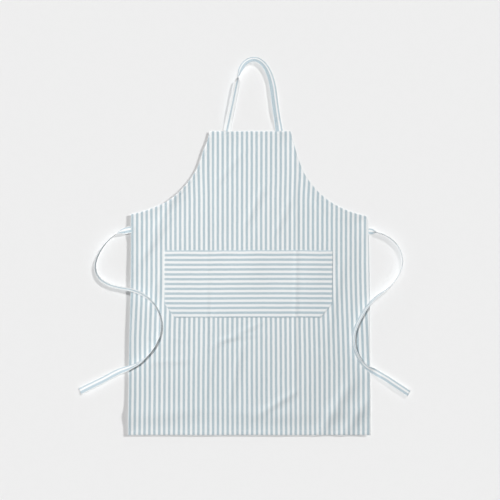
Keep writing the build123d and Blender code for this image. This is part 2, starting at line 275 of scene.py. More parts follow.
def relief(x, y, edge=None):
    x, y = np.asarray(x, float), np.asarray(y, float)
    if edge is None:
        edge = edge_distance(x, y).reshape(x.shape)
    calm = smooth(4, 60, edge)
    z = 0.95 + 0.0 * x
    z = z + 2.3 * calm * (0.26 * np.sin(x / 47.0 + 1.3 + 0.7 * np.sin(y / 133.0)) * np.sin(y / 74.0 + 0.4)
                    + 0.20 * np.sin(x / 26.0 - y / 93.0 + 2.1) * np.sin(y / 111.0 + x / 240.0 + 0.9)
                    + 0.16 * np.sin(y / 33.0 + x / 170.0 + 0.3) * np.sin(x / 88.0 + 1.1)
                    + 0.10 * np.sin(x / 13.5 + 2.0 * np.sin(y / 84.0)) * smooth(-0.2, 0.8, np.sin(y / 58.0 + x / 121.0)))
    # the two sharp folds that packing left: a valley on the left, a ridge on the right, strongest at the waist
    left = 1.2 + 1.0 * np.exp(-((y - 150.0) / 140.0) ** 2)
    right = 1.0 + 0.8 * np.exp(-((y - 150.0) / 120.0) ** 2) + 0.7 * np.exp(-((y + 170.0) / 140.0) ** 2)
    dl, dr = x + 114.0 - 1.5 * np.sin(y / 61.0), x - 131.0 - 2.0 * np.sin(y / 97.0 + 0.7)
    z = z - smooth(-330, -190, y) * (1 - smooth(385, 430, y)) * left * (np.exp(-(dl / 5.5) ** 2) - 0.45 * np.exp(-((dl + 11) / 8.0) ** 2))
    z = z + smooth(-345, -315, y) * (1 - smooth(400, 438, y)) * right * (np.exp(-(dr / 5.5) ** 2) - 0.35 * np.exp(-((dr - 13) / 9.0) ** 2))
    # single folds, each shaded on the side that its trough is on
    for p0, p1, h, w in (((290, -291), (208, -428), 2.3, 15), ((343, -335), (276, -434), 1.9, 14), ((130, -317), (33, -376), 1.8, 9),
                         ((34, -113), (-103, -180), 1.1, 8), ((13, -151), (-89, -166), 1.0, 6), ((-191, -166), (-293, -157), 1.0, 6),
                         ((-185, 315), (-293, 126), 1.8, 10), ((-220, 207), (-322, 62), 1.5, 9), ((144, 301), (217, 199), 1.5, 8),
                         ((197, 228), (276, 184), 1.4, 7), ((34, 272), (-16, 170), 1.4, 10), ((115, 242), (71, 140), 1.2, 9),
                         ((-31, -200), (-60, -341), 1.3, 10), ((-104, -195), (-133, -341), 1.1, 9), ((-176, -224), (-293, -232), 1.1, 9),
                         ((-20, 385), (-103, 288), 1.0, 10), ((262, 40), (228, -140), 1.3, 11), ((-262, 30), (-300, -90), 1.0, 9),
                         ((196, -196), (262, -262), 1.2, 11), ((40, -210), (95, -262), 1.1, 9)):
        z = z + fold(x, y, p0, p1, h, w)
    # the cloth stands a little behind the bottom hem, more in some places than in others
    z = z + (1.5 + 0.5 * np.sin(x / 37.0 + 0.5) + 0.4 * np.sin(x / 83.0)) * np.exp(-((y + 378.0 + 6.0 * np.sin(x / 71.0)) / 21.0) ** 2)
    # hems are thicker and stiffer, so the cloth stands off the floor towards every edge
    wave = 0.55 * np.sin(y / 39.0 + 0.6 + 1.4 * np.sin(y / 120.0)) + 0.45 * np.sin(x / 41.0 + 0.8 * np.sin(x / 97.0))
    z = z + (2.35 + 0.38 * wave) * (1 - 0.38 * smooth(180, 260, y)) * np.exp(-(edge / 20.0) ** 2) + 0.35 * np.exp(-(edge / 9.0) ** 2)
    for cx, cy, r in ((-332.0, 155.5, 26.0), (330.4, 150.5, 26.0), (-71.5, 432.0, 20.0), (84.5, 432.0, 20.0)):
        z = z + 1.25 * np.exp(-(((x - cx) ** 2 + (y - cy) ** 2) / r ** 2) ** 1.5)
    low = 0.42 + 1.38 * (1 - smooth(14, 30, edge))
    return low + np.log1p(np.exp((z - low) * 6.0)) / 6.0


PITCH = 14.146          # one blue and one white stripe
STRIPE_0 = 3.79         # the middle of one blue stripe


def drift(x, y):
    """How far the cloth has been drawn sideways where it lies: inward at the waist, with a step at each packing crease."""
    left = smooth(-190, 20, y) * (1 - 0.85 * smooth(235, 340, y))
    right = smooth(-290, 60, y) * (1 - 0.75 * smooth(235, 335, y))
    low = np.exp(-((y + 150.0) / 105.0) ** 2)
    hem = smooth(-260.0, -440.0, y)
    cl, cr = smooth(-10, 10, x - crease_left(y)), smooth(-10, 10, x - crease_right(y))
    d = left * (2.0 * (1 - cl) + 0.0176 * np.clip(-130 - x, 0, 400))
    d = d - right * (0.0137 * np.clip(x + 45, 0, 175) + 1.7 * cr + 0.029 * np.clip(x - 130, 0, 400))
    d = d + low * (1.5 * (1 - cl) - 0.011 * np.clip(-144 - x, 0, 400))
    return d + hem * (1.1 * np.exp(-((x - 40) / 130.0) ** 2) - 0.011 * np.clip(-190 - x, 0, 400) - 0.4 * smooth(200, 340, x))


def cloth_of(x, y):
    return np.stack([x - drift(x, y), y, np.zeros_like(x)], 1)


# =====================================================================================================
# materials
# =====================================================================================================
class Nodes:
    def __init__(self, name):
        self.mat = bpy.data.materials.new(name)
        self.mat.use_nodes = True
        self.tree = self.mat.node_tree
        self.tree.nodes.clear()
        self.out = self.tree.nodes.new("ShaderNodeOutputMaterial")
        self.bsdf = self.tree.nodes.new("ShaderNodeBsdfPrincipled")
        self.link(self.bsdf.outputs[0], self.out.inputs[0])

    def link(self, a, b):
        self.tree.links.new(a, b)

    def put(self, socket, value):
        if isinstance(value, bpy.types.NodeSocket):
            self.link(value, socket)
        else:
            socket.default_value = value

    def math(self, op, a, b=None, c=None, clamp=False):
        n = self.tree.nodes.new("ShaderNodeMath")
        n.operation = op
        n.use_clamp = clamp
        for i, v in enumerate((a, b, c)):
            if v is not None:
                self.put(n.inputs[i], v)
        return n.outputs[0]

    def ramp(self, value, a, b, low=0.0, high=1.0, kind="SMOOTHSTEP"):
        n = self.tree.nodes.new("ShaderNodeMapRange")
        n.interpolation_type = kind
        n.clamp = True
        self.put(n.inputs["Value"], value)
        n.inputs["From Min"].default_value, n.inputs["From Max"].default_value = a, b
        n.inputs["To Min"].default_value, n.inputs["To Max"].default_value = low, high
        return n.outputs[0]

    def mix(self, f, a, b):
        n = self.tree.nodes.new("ShaderNodeMix")
        n.data_type = "RGBA"
        self.put(n.inputs[0], f)
        for socket, v in ((n.inputs[6], a), (n.inputs[7], b)):
            self.put(socket, v if isinstance(v, bpy.types.NodeSocket) else (*v, 1.0))
        return n.outputs[2]

    def times(self, colour, f):
        n = self.tree.nodes.new("ShaderNodeVectorMath")
        n.operation = "SCALE"
        self.put(n.inputs[0], colour)
        self.put(n.inputs["Scale"], f)
        return n.outputs[0]

    def vector(self, x, y, z=0.0):
        n = self.tree.nodes.new("ShaderNodeCombineXYZ")
        for i, v in enumerate((x, y, z)):
            self.put(n.inputs[i], v)
        return n.outputs[0]

    def noise(self, vec, scale, detail=2.0, rough=0.5):
        n = self.tree.nodes.new("ShaderNodeTexNoise")
        self.put(n.inputs["Vector"], vec)
        n.inputs["Scale"].default_value = scale
        n.inputs["Detail"].default_value = detail
        n.inputs["Roughness"].default_value = rough
        return n.outputs[0]


def woven(name, blue, white, offset=STRIPE_0, duty=0.25, tape=False, crumple=0.10):
    """Yarn-dyed plain weave: blue and white warp stripes under a white weft, read from the cloth's own flat coordinates."""
    m = Nodes(name)
    at = m.tree.nodes.new("ShaderNodeAttribute")
    at.attribute_name = "cloth"
    sep = m.tree.nodes.new("ShaderNodeSeparateXYZ")
    m.link(at.outputs["Vector"], sep.inputs[0])
    u, v, worn = sep.outputs[0], sep.outputs[1], sep.outputs[2]
    flat = m.vector(u, v)
    # a stripe's edge wanders by part of a yarn
    wander = m.math("MULTIPLY", m.math("SUBTRACT", m.noise(m.vector(m.math("MULTIPLY", u, 0.35), v), 42.0, 2.0), 0.5), 0.0011)
    us = m.math("ADD", u, wander)
    f = m.math("FRACT", m.math("ADD", m.math("DIVIDE", m.math("SUBTRACT", us, offset * MM), PITCH * MM), 0.5 + 64.0))
    d = m.math("ABSOLUTE", m.math("SUBTRACT", f, 0.5))
    stripe = m.ramp(d, duty - 0.022, duty + 0.022, 1.0, 0.0)
    # plain weave, one yarn about every 0.62 mm
    p = 0.62 * MM
    wu = m.math("SINE", m.math("MULTIPLY", u, math.pi / p))
    wv = m.math("SINE", m.math("MULTIPLY", v, math.pi / p))
    checker = m.math("MULTIPLY", wu, wv)
    weft_up = m.ramp(checker, -0.25, 0.25)
    # yarns differ a little in thickness and shade: long thin streaks along the warp, short ones along the weft
    streak = m.noise(m.vector(m.math("MULTIPLY", u, 1.0), m.math("MULTIPLY", v, 0.03)), 900.0, 2.0)
    slub = m.noise(m.vector(m.math("MULTIPLY", u, 0.04), m.math("MULTIPLY", v, 1.0)), 900.0, 2.0)
    broad = m.noise(flat, 9.0, 3.0, 0.6)
    shade = m.math("ADD", 0.93, m.math("ADD", m.math("MULTIPLY", streak, 0.07), m.math("ADD", m.math("MULTIPLY", slub, 0.04), m.math("MULTIPLY", broad, 0.03))))
    blue_yarn = m.mix(broad, tuple(c * 0.97 for c in blue), tuple(c * 1.03 for c in blue))
    white_yarn = m.mix(broad, tuple(c * 0.992 for c in white), white)
    blue_cloth = m.mix(m.math("MULTIPLY", weft_up, 0.42), blue_yarn, white_yarn)
    # folded and rubbed edges lose a little of their blue
    stripe_worn = m.math("MULTIPLY", stripe, m.math("SUBTRACT", 1.0, m.math("MULTIPLY", worn, 0.16)))
    colour = m.times(m.mix(stripe_worn, white_yarn, blue_cloth), shade)
    m.link(colour, m.bsdf.inputs["Base Color"])
    rough = m.math("ADD", 0.84, m.math("MULTIPLY", m.noise(flat, 260.0, 2.0), 0.12))
    m.link(rough, m.bsdf.inputs["Roughness"])
    m.bsdf.inputs["Specular IOR Level"].default_value = 0.22
    m.bsdf.inputs["Sheen Weight"].default_value = 0.10
    m.bsdf.inputs["Sheen Roughness"].default_value = 0.5
    # relief of the yarns, then the fine crumple of washed cotton
    yarns = m.math("ADD", m.math("MULTIPLY", m.math("ABSOLUTE", wu), 0.5), m.math("ADD", m.math("MULTIPLY", m.math("ABSOLUTE", wv), 0.35), m.math("MULTIPLY", weft_up, 0.3)))
    b1 = m.tree.nodes.new("ShaderNodeBump")
    b1.inputs["Strength"].default_value = 0.5
    b1.inputs["Distance"].default_value = 0.00012
    m.link(yarns, b1.inputs["Height"])
    b2 = m.tree.nodes.new("ShaderNodeBump")
    b2.inputs["Strength"].default_value = 0.6
    b2.inputs["Distance"].default_value = crumple * MM * 4
    m.link(m.noise(flat, 75.0 if not tape else 120.0, 4.0, 0.55), b2.inputs["Height"])
    m.link(b1.outputs[0], b2.inputs["Normal"])
    m.link(b2.outputs[0], m.bsdf.inputs["Normal"])
    return m.mat


BLUE = (0.349, 0.458, 0.512)
WHITE = (0.797, 0.815, 0.818)
panel_cloth = woven("panel_cloth", (0.329, 0.438, 0.492), WHITE)
pocket_cloth = woven("pocket_cloth", BLUE, WHITE)
tape_cloth = woven("tape_cloth", (0.390, 0.505, 0.570), (0.835, 0.850, 0.850), offset=0.0, tape=True, crumple=0.06)


def thread_material():
    m = Nodes("sewing_thread")
    at = m.tree.nodes.new("ShaderNodeAttribute")
    at.attribute_name = "cloth"
    sep = m.tree.nodes.new("ShaderNodeSeparateXYZ")
    m.link(at.outputs["Vector"], sep.inputs[0])
    twist = m.math("SINE", m.math("ADD", m.math("MULTIPLY", sep.outputs[0], 2 * math.pi / 0.00055), m.math("MULTIPLY", sep.outputs[1], 2 * math.pi / 0.0019)))
    geo = m.tree.nodes.new("ShaderNodeNewGeometry")
    tone = m.noise(geo.outputs["Position"], 35.0, 2.0)
    colour = m.mix(tone, (0.70, 0.745, 0.760), (0.80, 0.825, 0.83))
    colour = m.times(colour, m.math("ADD", 0.94, m.math("MULTIPLY", twist, 0.05)))
    m.link(colour, m.bsdf.inputs["Base Color"])
    m.link(m.math("ADD", 0.50, m.math("MULTIPLY", tone, 0.2)), m.bsdf.inputs["Roughness"])
    m.bsdf.inputs["Specular IOR Level"].default_value = 0.35
    m.bsdf.inputs["Sheen Weight"].default_value = 0.10
    b = m.tree.nodes.new("ShaderNodeBump")
    b.inputs["Strength"].default_value = 0.6
    b.inputs["Distance"].default_value = 0.0001
    m.link(twist, b.inputs["Height"])
    m.link(b.outputs[0], m.bsdf.inputs["Normal"])
    return m.mat


sewing_thread = thread_material()

# =====================================================================================================
# cloth pieces: a sheet with turned and sewn hems
# =====================================================================================================
CLOTH_T = 0.42


def hemmed_sheet(name, outer, hem, section, height, flat, spacing, material, pucker=0.0, clear=3.0):
    """A sheet inside the ring outer. section lists (share of the hem's width, lift, how the cloth is turned) from the inside to the hidden raw edge."""
    n = len(outer)
    s = arc(np.vstack([outer, outer[:1]]))[:-1]
    rings, cloth, worn = [], [], []
    for share, lift, turned in section:
        p = outer + (hem - outer) * share
        if turned == 0:
            q = p
        elif turned == 1:        # past the fold edge, on the back
            q = 2 * outer - p
        else:                    # past the second fold, tucked inside
            q = outer + (outer - hem) * (1.06 + (1.06 - share))
        pk = pucker * np.exp(-((share - 1.0) / 0.35) ** 2) if turned == 0 else 0.0
        z = height(p[:, 0], p[:, 1]) + lift + pk * np.sin(2 * math.pi * s / 9.2 + 1.1 * np.sin(s / 37.0)) * (0.6 + 0.4 * np.sin(s / 51.0))
        rings.append(np.column_stack([p, z]))
        c = flat(q[:, 0], q[:, 1])
        c[:, 2] = math.exp(-(share / 0.12) ** 2)
        cloth.append(c)
    k = len(section)
    # inside of the sheet
    inner = rings[0][:, :2]
    lo, hi = inner.min(0), inner.max(0)
    gx, gy = [], []
    row = 0
    yy = lo[1]
    while yy < hi[1]:
        xs = np.arange(lo[0] + (spacing / 2 if row % 2 else 0.0), hi[0], spacing)
        gx.append(xs)
        gy.append(np.full(len(xs), yy))
        yy += spacing * 0.866
        row += 1
    gx, gy = np.concatenate(gx), np.concatenate(gy)
    keep = inside(gx, gy, inner)
    gx, gy = gx[keep], gy[keep]
    keep = edge_distance(gx, gy, inner) > clear
    gx, gy = gx[keep], gy[keep]
    pts = [tuple(p) for p in inner] + list(zip(gx, gy))
    res = delaunay_2d_cdt([(float(a), float(b)) for a, b in pts], [], [list(range(n))], 1, 1e-5)
    vco, faces2, orig = res[0], res[2], res[3]
    where = {}
    for i, o in enumerate(orig):
        where[i] = o[0] if len(o) else None
    count = n * k
    verts = [np.vstack(rings)]
    cl = [np.vstack(cloth)]
    grid_z = height(gx, gy)
    verts.append(np.column_stack([gx, gy, grid_z]))
    cl.append(flat(gx, gy))
    faces = []
    for f in faces2:
        idx = []
        for i in f:
            o = where[i]
            if o is None:
                break
            idx.append(o if o < n else count + (o - n))
        else:
            a, b, c = [np.array(vco[i]) for i in f[:3]]
            if (b[0] - a[0]) * (c[1] - a[1]) - (b[1] - a[1]) * (c[0] - a[0]) < 0:
                idx.reverse()
            faces.append(tuple(idx))
    for r in range(k - 1):
        for i in range(n):
            j = (i + 1) % n
            faces.append((r * n + i, r * n + j, (r + 1) * n + j, (r + 1) * n + i))
    v, fs, c = thicken(np.vstack(verts), faces, np.vstack(cl), CLOTH_T)
    return make_mesh(name, v, fs, c, material)


PANEL_SECTION = [(1.35, 0.0, 0), (1.12, 0.0, 0), (1.0, -0.13, 0), (0.88, 0.02, 0), (0.6, 0.10, 0), (0.3, 0.08, 0), (0.1, -0.02, 0), (0.02, -0.28, 0),
                 (0.0, -0.62, 1), (0.03, -0.95, 1), (0.12, -1.18, 1), (0.4, -1.24, 1), (0.85, -1.24, 1), (0.99, -1.16, 1), (1.04, -0.94, 1),
                 (0.99, -0.70, 2), (0.85, -0.62, 2), (0.45, -0.61, 2)]
panel = hemmed_sheet("apron_panel", panel_outer, panel_hem, PANEL_SECTION, relief, cloth_of, 5.6, panel_cloth, pucker=0.16)
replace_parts(panel, "bib_panel", "skirt_panel")
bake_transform(panel)


def panel_top(x, y):
    return relief(x, y) + CLOTH_T / 2


# ---------------------------------------------------------------- pocket
def rounded(corners, radius, step):
    """The polygon's sides, one per corner pair, as points with small rounded corners."""
    p = [np.array(c, float) for c in corners]
    out = []
    for i in range(len(p)):
        a, b = p[i], p[(i + 1) % len(p)]
        n = max(2, int(round(np.linalg.norm(b - a) / step)))
        out.append(np.array([a + (b - a) * t for t in np.linspace(0, 1, n + 1)]))
    return out


pocket_sides = rounded(POCKET, 2.0, 3.6)
pocket_outer, pocket_hem, pocket_side = ring_of(pocket_sides, [9.5, 9.0, 9.0, 9.0, 9.0, 9.0])
# sewn edges are never quite straight
_s = arc(np.vstack([pocket_outer, pocket_outer[:1]]))[:-1]
_w = np.where(pocket_side == 0, 0.25, 0.35) * np.sin(_s / 23.0 + 0.5 * np.sin(_s / 61.0))
_c = pocket_hem - pocket_outer
_c = _c / np.linalg.norm(_c, axis=1, keepdims=True)
pocket_outer, pocket_hem = pocket_outer + _c * _w[:, None], pocket_hem + _c * _w[:, None]
POCKET_SEAM = 4.0


def pocket_height(x, y):
    x, y = np.asarray(x, float), np.asarray(y, float)
    d = edge_distance(x, y, pocket_outer).reshape(x.shape)
    to_mouth = 95.8 - y
    sewn = np.minimum.reduce([x + 250.3, 238.9 - x, y + 99.9, (x + 250.3) * 0.78 + (y + 61.2) * 0.625, (238.9 - x) * 0.768 + (y + 59.5) * 0.64])
    free = smooth(3.0, 45.0, sewn)
    gap = 0.92 + 0.55 * free * smooth(0, 60, to_mouth) + 1.1 * free * np.exp(-(to_mouth / 26.0) ** 2) * (0.65 + 0.35 * np.sin(x / 71.0 + 0.4))
    gap = gap + 0.22 * free * np.sin(x / 31.0 + 1.9) * np.sin(y / 27.0 + x / 130.0)
    return relief(x, y) + gap


def pocket_cloth_of(x, y):
    wave = 0.55 * np.sin(x / 17.0 + 0.6 * np.sin(x / 43.0)) * np.exp(-((y - 84.0) / 9.0) ** 2) + 0.5 * np.sin(x / 83.0 + 0.6)
    return np.stack([STRIPE_0 + (82.1 - y + wave) * (14.146 / 14.02), x, np.zeros_like(x)], 1)


POCKET_SECTION = [(1.25, 0.0, 0), (1.0, 0.0, 0), (0.7, 0.0, 0), (0.46, -0.10, 0), (0.25, 0.02, 0), (0.08, -0.04, 0), (0.0, -0.22, 0),
                  (0.02, -0.42, 1), (0.15, -0.50, 1), (0.6, -0.47, 1), (1.0, -0.46, 1)]
pocket = hemmed_sheet("pocket", pocket_outer, pocket_hem, POCKET_SECTION, pocket_height, pocket_cloth_of, 5.0, pocket_cloth, pucker=0.10)
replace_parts(pocket, "pocket_panel")
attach(pocket, "skirt")


# =====================================================================================================
# tapes
# =====================================================================================================
def ground(x, y, over=0.35):
    """The height a tape rests on: the floor, or the panel's top, or the pocket's, and not below either on the way across an edge."""
    x, y = np.asarray(x, float), np.asarray(y, float)
    on = inside(x, y, panel_outer)
    z = np.where(on, panel_top(x, y) + over, 0.12)
    pk = inside(x, y, pocket_outer)
    if pk.any():
        z = np.where(pk, pocket_height(x, y) + CLOTH_T / 2 + over, z)
    return z


def frames_along(path):
    t = np.gradient(path, axis=0)
    t /= np.linalg.norm(t, axis=1, keepdims=True)
    h = np.cross([0.0, 0.0, 1.0], t)
    h /= np.linalg.norm(h, axis=1, keepdims=True)
    return t, h, np.cross(t, h)


def ribbon(name, path, width, twist, material, face_a, face_b, rests=True, on=ground, lift=0.0):
    """A folded and topstitched tape along path. twist is its lean in degrees from flat, one number for each point of the path. face_a and face_b give the stripes of its two faces, as (place across the tape, place in the cloth's stripes). Returns the object, its middle line and its frames."""
    t, h, up = frames_along(path)
    ph = np.radians(twist)[:, None]
    w = np.cos(ph) * h + np.sin(ph) * up
    b = -np.sin(ph) * h + np.cos(ph) * up
    s = arc(path)
    half = width / 2
    aa = np.concatenate([[-1.0, -0.965, -0.9], np.linspace(-0.78, 0.78, 13), [0.9, 0.965, 1.0]]) * half
    tt = np.concatenate([[0.0, 0.62, 0.96], 1.0 - 0.12 * np.cos(np.linspace(-0.78, 0.78, 13) * 2.0) ** 2, [0.96, 0.62, 0.0]]) * TAPE_T / 2
    last = len(aa) - 1
    low = (-half * np.abs(np.sin(ph[:, 0])) - TAPE_T / 2 * np.abs(np.cos(ph[:, 0])))
    path = path.copy()
    if rests:
        near = [on(path[:, 0] + h[:, 0] * k, path[:, 1] + h[:, 1] * k) for k in (-half * 0.9, 0.0, half * 0.9)]
        flatness = np.abs(np.cos(ph[:, 0]))
        g = np.maximum(near[1], np.where(flatness > 0.35, np.maximum(near[0], near[2]), 0.0))
        wide = g.copy()
        for i in range(len(g)):
            m = np.abs(s - s[i]) < 9.0
            wide[i] = g[m].max()
        for _ in range(2):
            g2 = wide.copy()
            for i in range(len(g)):
                m = np.abs(s - s[i]) < 12.0
                k = 1 - np.abs(s[m] - s[i]) / 12.0 + 0.01
                g2[i] = (wide[m] * k).sum() / k.sum()
            wide = g2
        path[:, 2] = wide - low + lift
    rng = np.sin(s / 19.0 + 0.8 * np.sin(s / 47.0))
    ring_a = list(range(last + 1)) + list(range(last - 1, 0, -1))
    sign = [1.0] * (last + 1) + [-1.0] * (last - 1)
    ka, ua = zip(*face_a)
    kb, ub = zip(*face_b)
    verts, cloth = [], []
    m = len(ring_a)
    for j, (k, sg) in enumerate(zip(ring_a, sign)):
        edge_wave = 0.10 * rng * (1 if aa[k] > 0 else -1)
        verts.append(path + w * (aa[k] + edge_wave)[:, None] + b * (sg * tt[k]))
        u = float(np.interp(aa[k], ka, ua) if sg > 0 else np.interp(aa[k], kb, ub))
        cloth.append(np.column_stack([np.full(len(s), u), s, np.full(len(s), math.exp(-((half - abs(aa[k])) / 0.8) ** 2))]))
    verts = np.stack(verts, 1).reshape(-1, 3)
    cloth = np.stack(cloth, 1).reshape(-1, 3)
    n = len(path)
    faces = []
    for i in range(n - 1):
        for j in range(m):
            j2 = (j + 1) % m
            faces.append((i * m + j, (i + 1) * m + j, (i + 1) * m + j2, i * m + j2))
    # closed, slightly rounded ends
    for i, out in ((0, -1.0), (n - 1, 1.0)):
        c0 = len(verts)
        inner = verts[i * m:(i + 1) * m]
        mid = path[i] + t[i] * out * 0.25
        cap = mid + (inner - path[i]) * np.array([0.55, 0.55, 0.55])
        verts = np.vstack([verts, cap, (path[i] + t[i] * out * 0.3)[None]])
        cloth = np.vstack([cloth, cloth[i * m:(i + 1) * m], cloth[i * m:i * m + 1]])
        for j in range(m):
            j2 = (j + 1) % m
            a, b2, c, d = i * m + j, i * m + j2, c0 + j2, c0 + j
            if out > 0:
                faces.append((a, d, c, b2))
                faces.append((c, d, c0 + m))
            else:
                faces.append((a, b2, c, d))
                faces.append((d, c, c0 + m))
    ob = make_mesh(name, verts, faces, cloth, material)
    return ob, path, (t, w, b)


def keyed(path, keys):
    """Numbers along the path from (point near it, number) keys, eased from one to the next."""
    s = arc(path)
    at, val = [], []
    for (x, y), v in keys:
        at.append(s[np.argmin((path[:, 0] - x) ** 2 + (path[:, 1] - y) ** 2)])
        val.append(v)
    out = np.full(len(s), float(val[0]))
    for k in range(len(at) - 1):
        m = s >= at[k]
        out[m] = val[k] + (val[k + 1] - val[k]) * smooth(at[k], at[k + 1], s[m])
    return out


strap_line = centreline("neck_strap_route", STRAP)
left_line = centreline("tie_left_route", TIE_LEFT)
right_line = centreline("tie_right_route", TIE_RIGHT)

strap_twist = keyed(strap_line, [((-69, 442.5), 0), ((-65, 460), 16), ((-60, 486), 26), ((-46, 548), 28), ((-40, 582), 36), ((-34, 606), 112), ((-26, 624), 135), ((-10, 645), 141), ((16, 652), 143),
                                 ((38, 637), 143), ((54, 606), 148), ((63, 576), 153), ((70, 535), 152), ((77, 480), 154), ((80, 464), 164), ((83.5, 442.5), 180)])
left_twist = keyed(left_line, [((-347.6, 156), 0), ((-356, 154), 12), ((-394, 141), 86), ((-446, 76), 92), ((-446, 35), 94), ((-420, 0), 112), ((-340, -22), 112),
                               ((-280, -60), 96), ((-259, -115), 95), ((-300, -214), 90), ((-328, -235), 72), ((-366, -250), 40), ((-398, -265), 18), ((-497, -315), 14)])
right_twist = keyed(right_line, [((343.6, 151), 0), ((346, 151), 12), ((366, 148), 90), ((440, 70), 98), ((420, 6), 98), ((360, -44), 80), ((310, -116), 72),
                                 ((298, -166), 70), ((315, -220), 68), ((336, -243), 46), ((360, -258), 0), ((384, -271), -18), ((460, -320), -16)])

# where the tapes stand a little off what they lie on
strap_lift = keyed(strap_line, [((-69, 442.5), 0), ((-65, 460), 1.0), ((-55, 505), 5.0), ((-45, 555), 5.0), ((-34, 606), 1.0), ((16, 652), 0.5), ((54, 606), 1.5),
                                ((68, 555), 5.0), ((74, 505), 5.0), ((80, 465), 1.5), ((83.5, 442.5), 0)])
left_lift = keyed(left_line, [((-347.6, 156), 0), ((-356, -247), 0), ((-398, -265), 4.0), ((-455, -293), 5.5), ((-497, -315), 6.0)])
right_lift = keyed(right_line, [((343.6, 151), 0), ((346, -249), 0), ((384, -271), 5.0), ((425, -298), 7.0), ((460, -320), 7.5)])

BLUE_EDGE = PITCH / 4
STRAP_A = [(-11.0, -10.4), (-2.4, -BLUE_EDGE), (2.2, BLUE_EDGE), (11.0, 10.4)]
STRAP_B = [(-11.0, 18.6), (-10.4, 3 * PITCH / 4 + 2 * BLUE_EDGE), (-5.4, 3 * PITCH / 4), (-0.6, BLUE_EDGE), (11.0, -BLUE_EDGE + 0.4)]
LEFT_A = [(-10.0, -BLUE_EDGE - 1.5), (-9.3, -BLUE_EDGE), (-5.4, BLUE_EDGE), (0.3, PITCH - BLUE_EDGE), (7.8, PITCH + BLUE_EDGE), (10.0, PITCH + BLUE_EDGE + 2.0)]
RIGHT_A = [(-10.0, PITCH + BLUE_EDGE + 2.4), (-7.6, PITCH + BLUE_EDGE), (-0.8, PITCH - BLUE_EDGE), (4.8, BLUE_EDGE), (8.8, -BLUE_EDGE), (10.0, -BLUE_EDGE - 2.4)]
TIE_B = [(-10.0, -10.0), (10.0, 10.0)]
strap, strap_path, strap_fr = ribbon("neck_strap_tape", strap_line, STRAP_W, strap_twist, tape_cloth, STRAP_A, STRAP_B, lift=strap_lift)
tie_l, left_path, left_fr = ribbon("waist_tie_left_tape", left_line, TIE_W, left_twist, tape_cloth, LEFT_A, TIE_B, lift=left_lift)
tie_r, right_path, right_fr = ribbon("waist_tie_right_tape", right_line, TIE_W, right_twist, tape_cloth, RIGHT_A, TIE_B, lift=right_lift)
for ob, node in ((strap, "neck_strap"), (tie_l, "waist_tie_left"), (tie_r, "waist_tie_right")):
    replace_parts(ob, node)

TIE_L_BLEND = dict(start=(-0.3485, 0.1530, 0.0), end=(-0.3700, 0.1243, 0.0))
TIE_R_BLEND = dict(start=(0.3465, 0.1480, 0.0), end=(0.3680, 0.1193, 0.0))
STRAP_BLEND = dict(start=(0.0, 0.4430, 0.0), end=(0.0, 0.4760, 0.0))
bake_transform(strap)
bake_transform(tie_l)
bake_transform(tie_r)


# ---------------------------------------------------------------- the sewn ends, flat under the panel
def sewn_end(node, body, x, y, width, length, along_x, faces):
    a = np.array([x - length / 2, y, 0.62]) if along_x else np.array([x, y - length / 2, 0.62])
    b = np.array([x + length / 2, y, 0.62]) if along_x else np.array([x, y + length / 2, 0.62])
    line = np.array([a + (b - a) * k for k in np.linspace(0, 1, 12)])
    global TAPE_T
    keep, TAPE_T = TAPE_T, 0.95
    ob, _, _ = ribbon(node + "_cloth", line, width, np.zeros(len(line)), tape_cloth, faces, TIE_B, rests=False)
    TAPE_T = keep
    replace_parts(ob, node)
    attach(ob, body)
    return ob


sewn_end("neck_strap_sewn_end_left", "bib", -71.5, 430.1, STRAP_W - 0.6, 23.4, False, STRAP_A)
sewn_end("neck_strap_sewn_end_right", "bib", 84.5, 430.1, STRAP_W - 0.6, 23.4, False, STRAP_B)
sewn_end("waist_tie_sewn_end_left", "skirt", -332.0, 155.5, TIE_W - 0.6, 23.4, True, LEFT_A)
sewn_end("waist_tie_sewn_end_right", "skirt", 330.4, 150.5, TIE_W - 0.6, 23.4, True, RIGHT_A)


